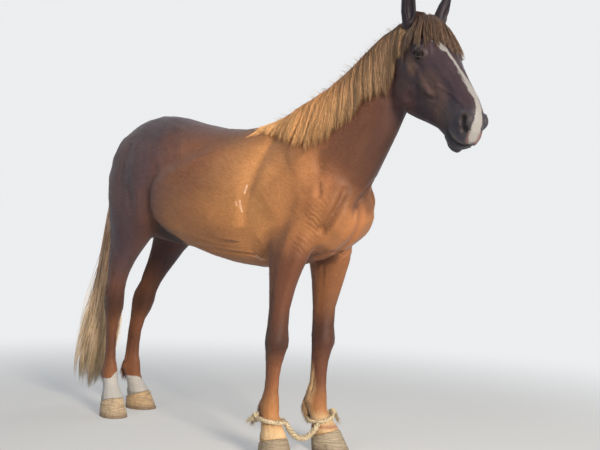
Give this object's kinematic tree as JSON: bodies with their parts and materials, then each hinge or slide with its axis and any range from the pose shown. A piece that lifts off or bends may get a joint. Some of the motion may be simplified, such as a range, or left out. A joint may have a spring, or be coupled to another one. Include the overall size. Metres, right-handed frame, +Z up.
{
  "type": "horse",
  "caption": "Life-size standing saddle horse with a long mane on one side, a full tail and a rope hobble joining its front pasterns.",
  "frame": {"origin": "on the ground, under the middle of the box round the horse without the rope between its forelegs", "axes": "+X the way the horse faces, along its longest extent; +Y its left side; +Z up"},
  "size_m": [2.4484, 0.531, 1.9302],
  "materials": {
    "coat": "short glossy chestnut hair over skin",
    "mane": "long flaxen hair",
    "horn": "dusty ringed hoof horn",
    "eye": "wet dark brown",
    "rope": "coarse twisted straw-coloured fibre"
  },
  "bodies": {
    "root": {"head": "coat", "neck": "coat", "trunk": "coat", "foreleg_right": "coat", "foreleg_left": "coat", "hindleg_right": "coat", "hindleg_left": "coat", "ear_right": "coat", "ear_left": "coat", "mane": "mane", "forelock": "mane", "tail": "mane", "forehoof_right": "horn", "forehoof_left": "horn", "hindhoof_right": "horn", "hindhoof_left": "horn", "eye_right": "eye", "eye_left": "eye", "hobble_loop_right": "rope", "hobble_loop_left": "rope", "hobble_link": "rope"}
  },
  "joints": []
}
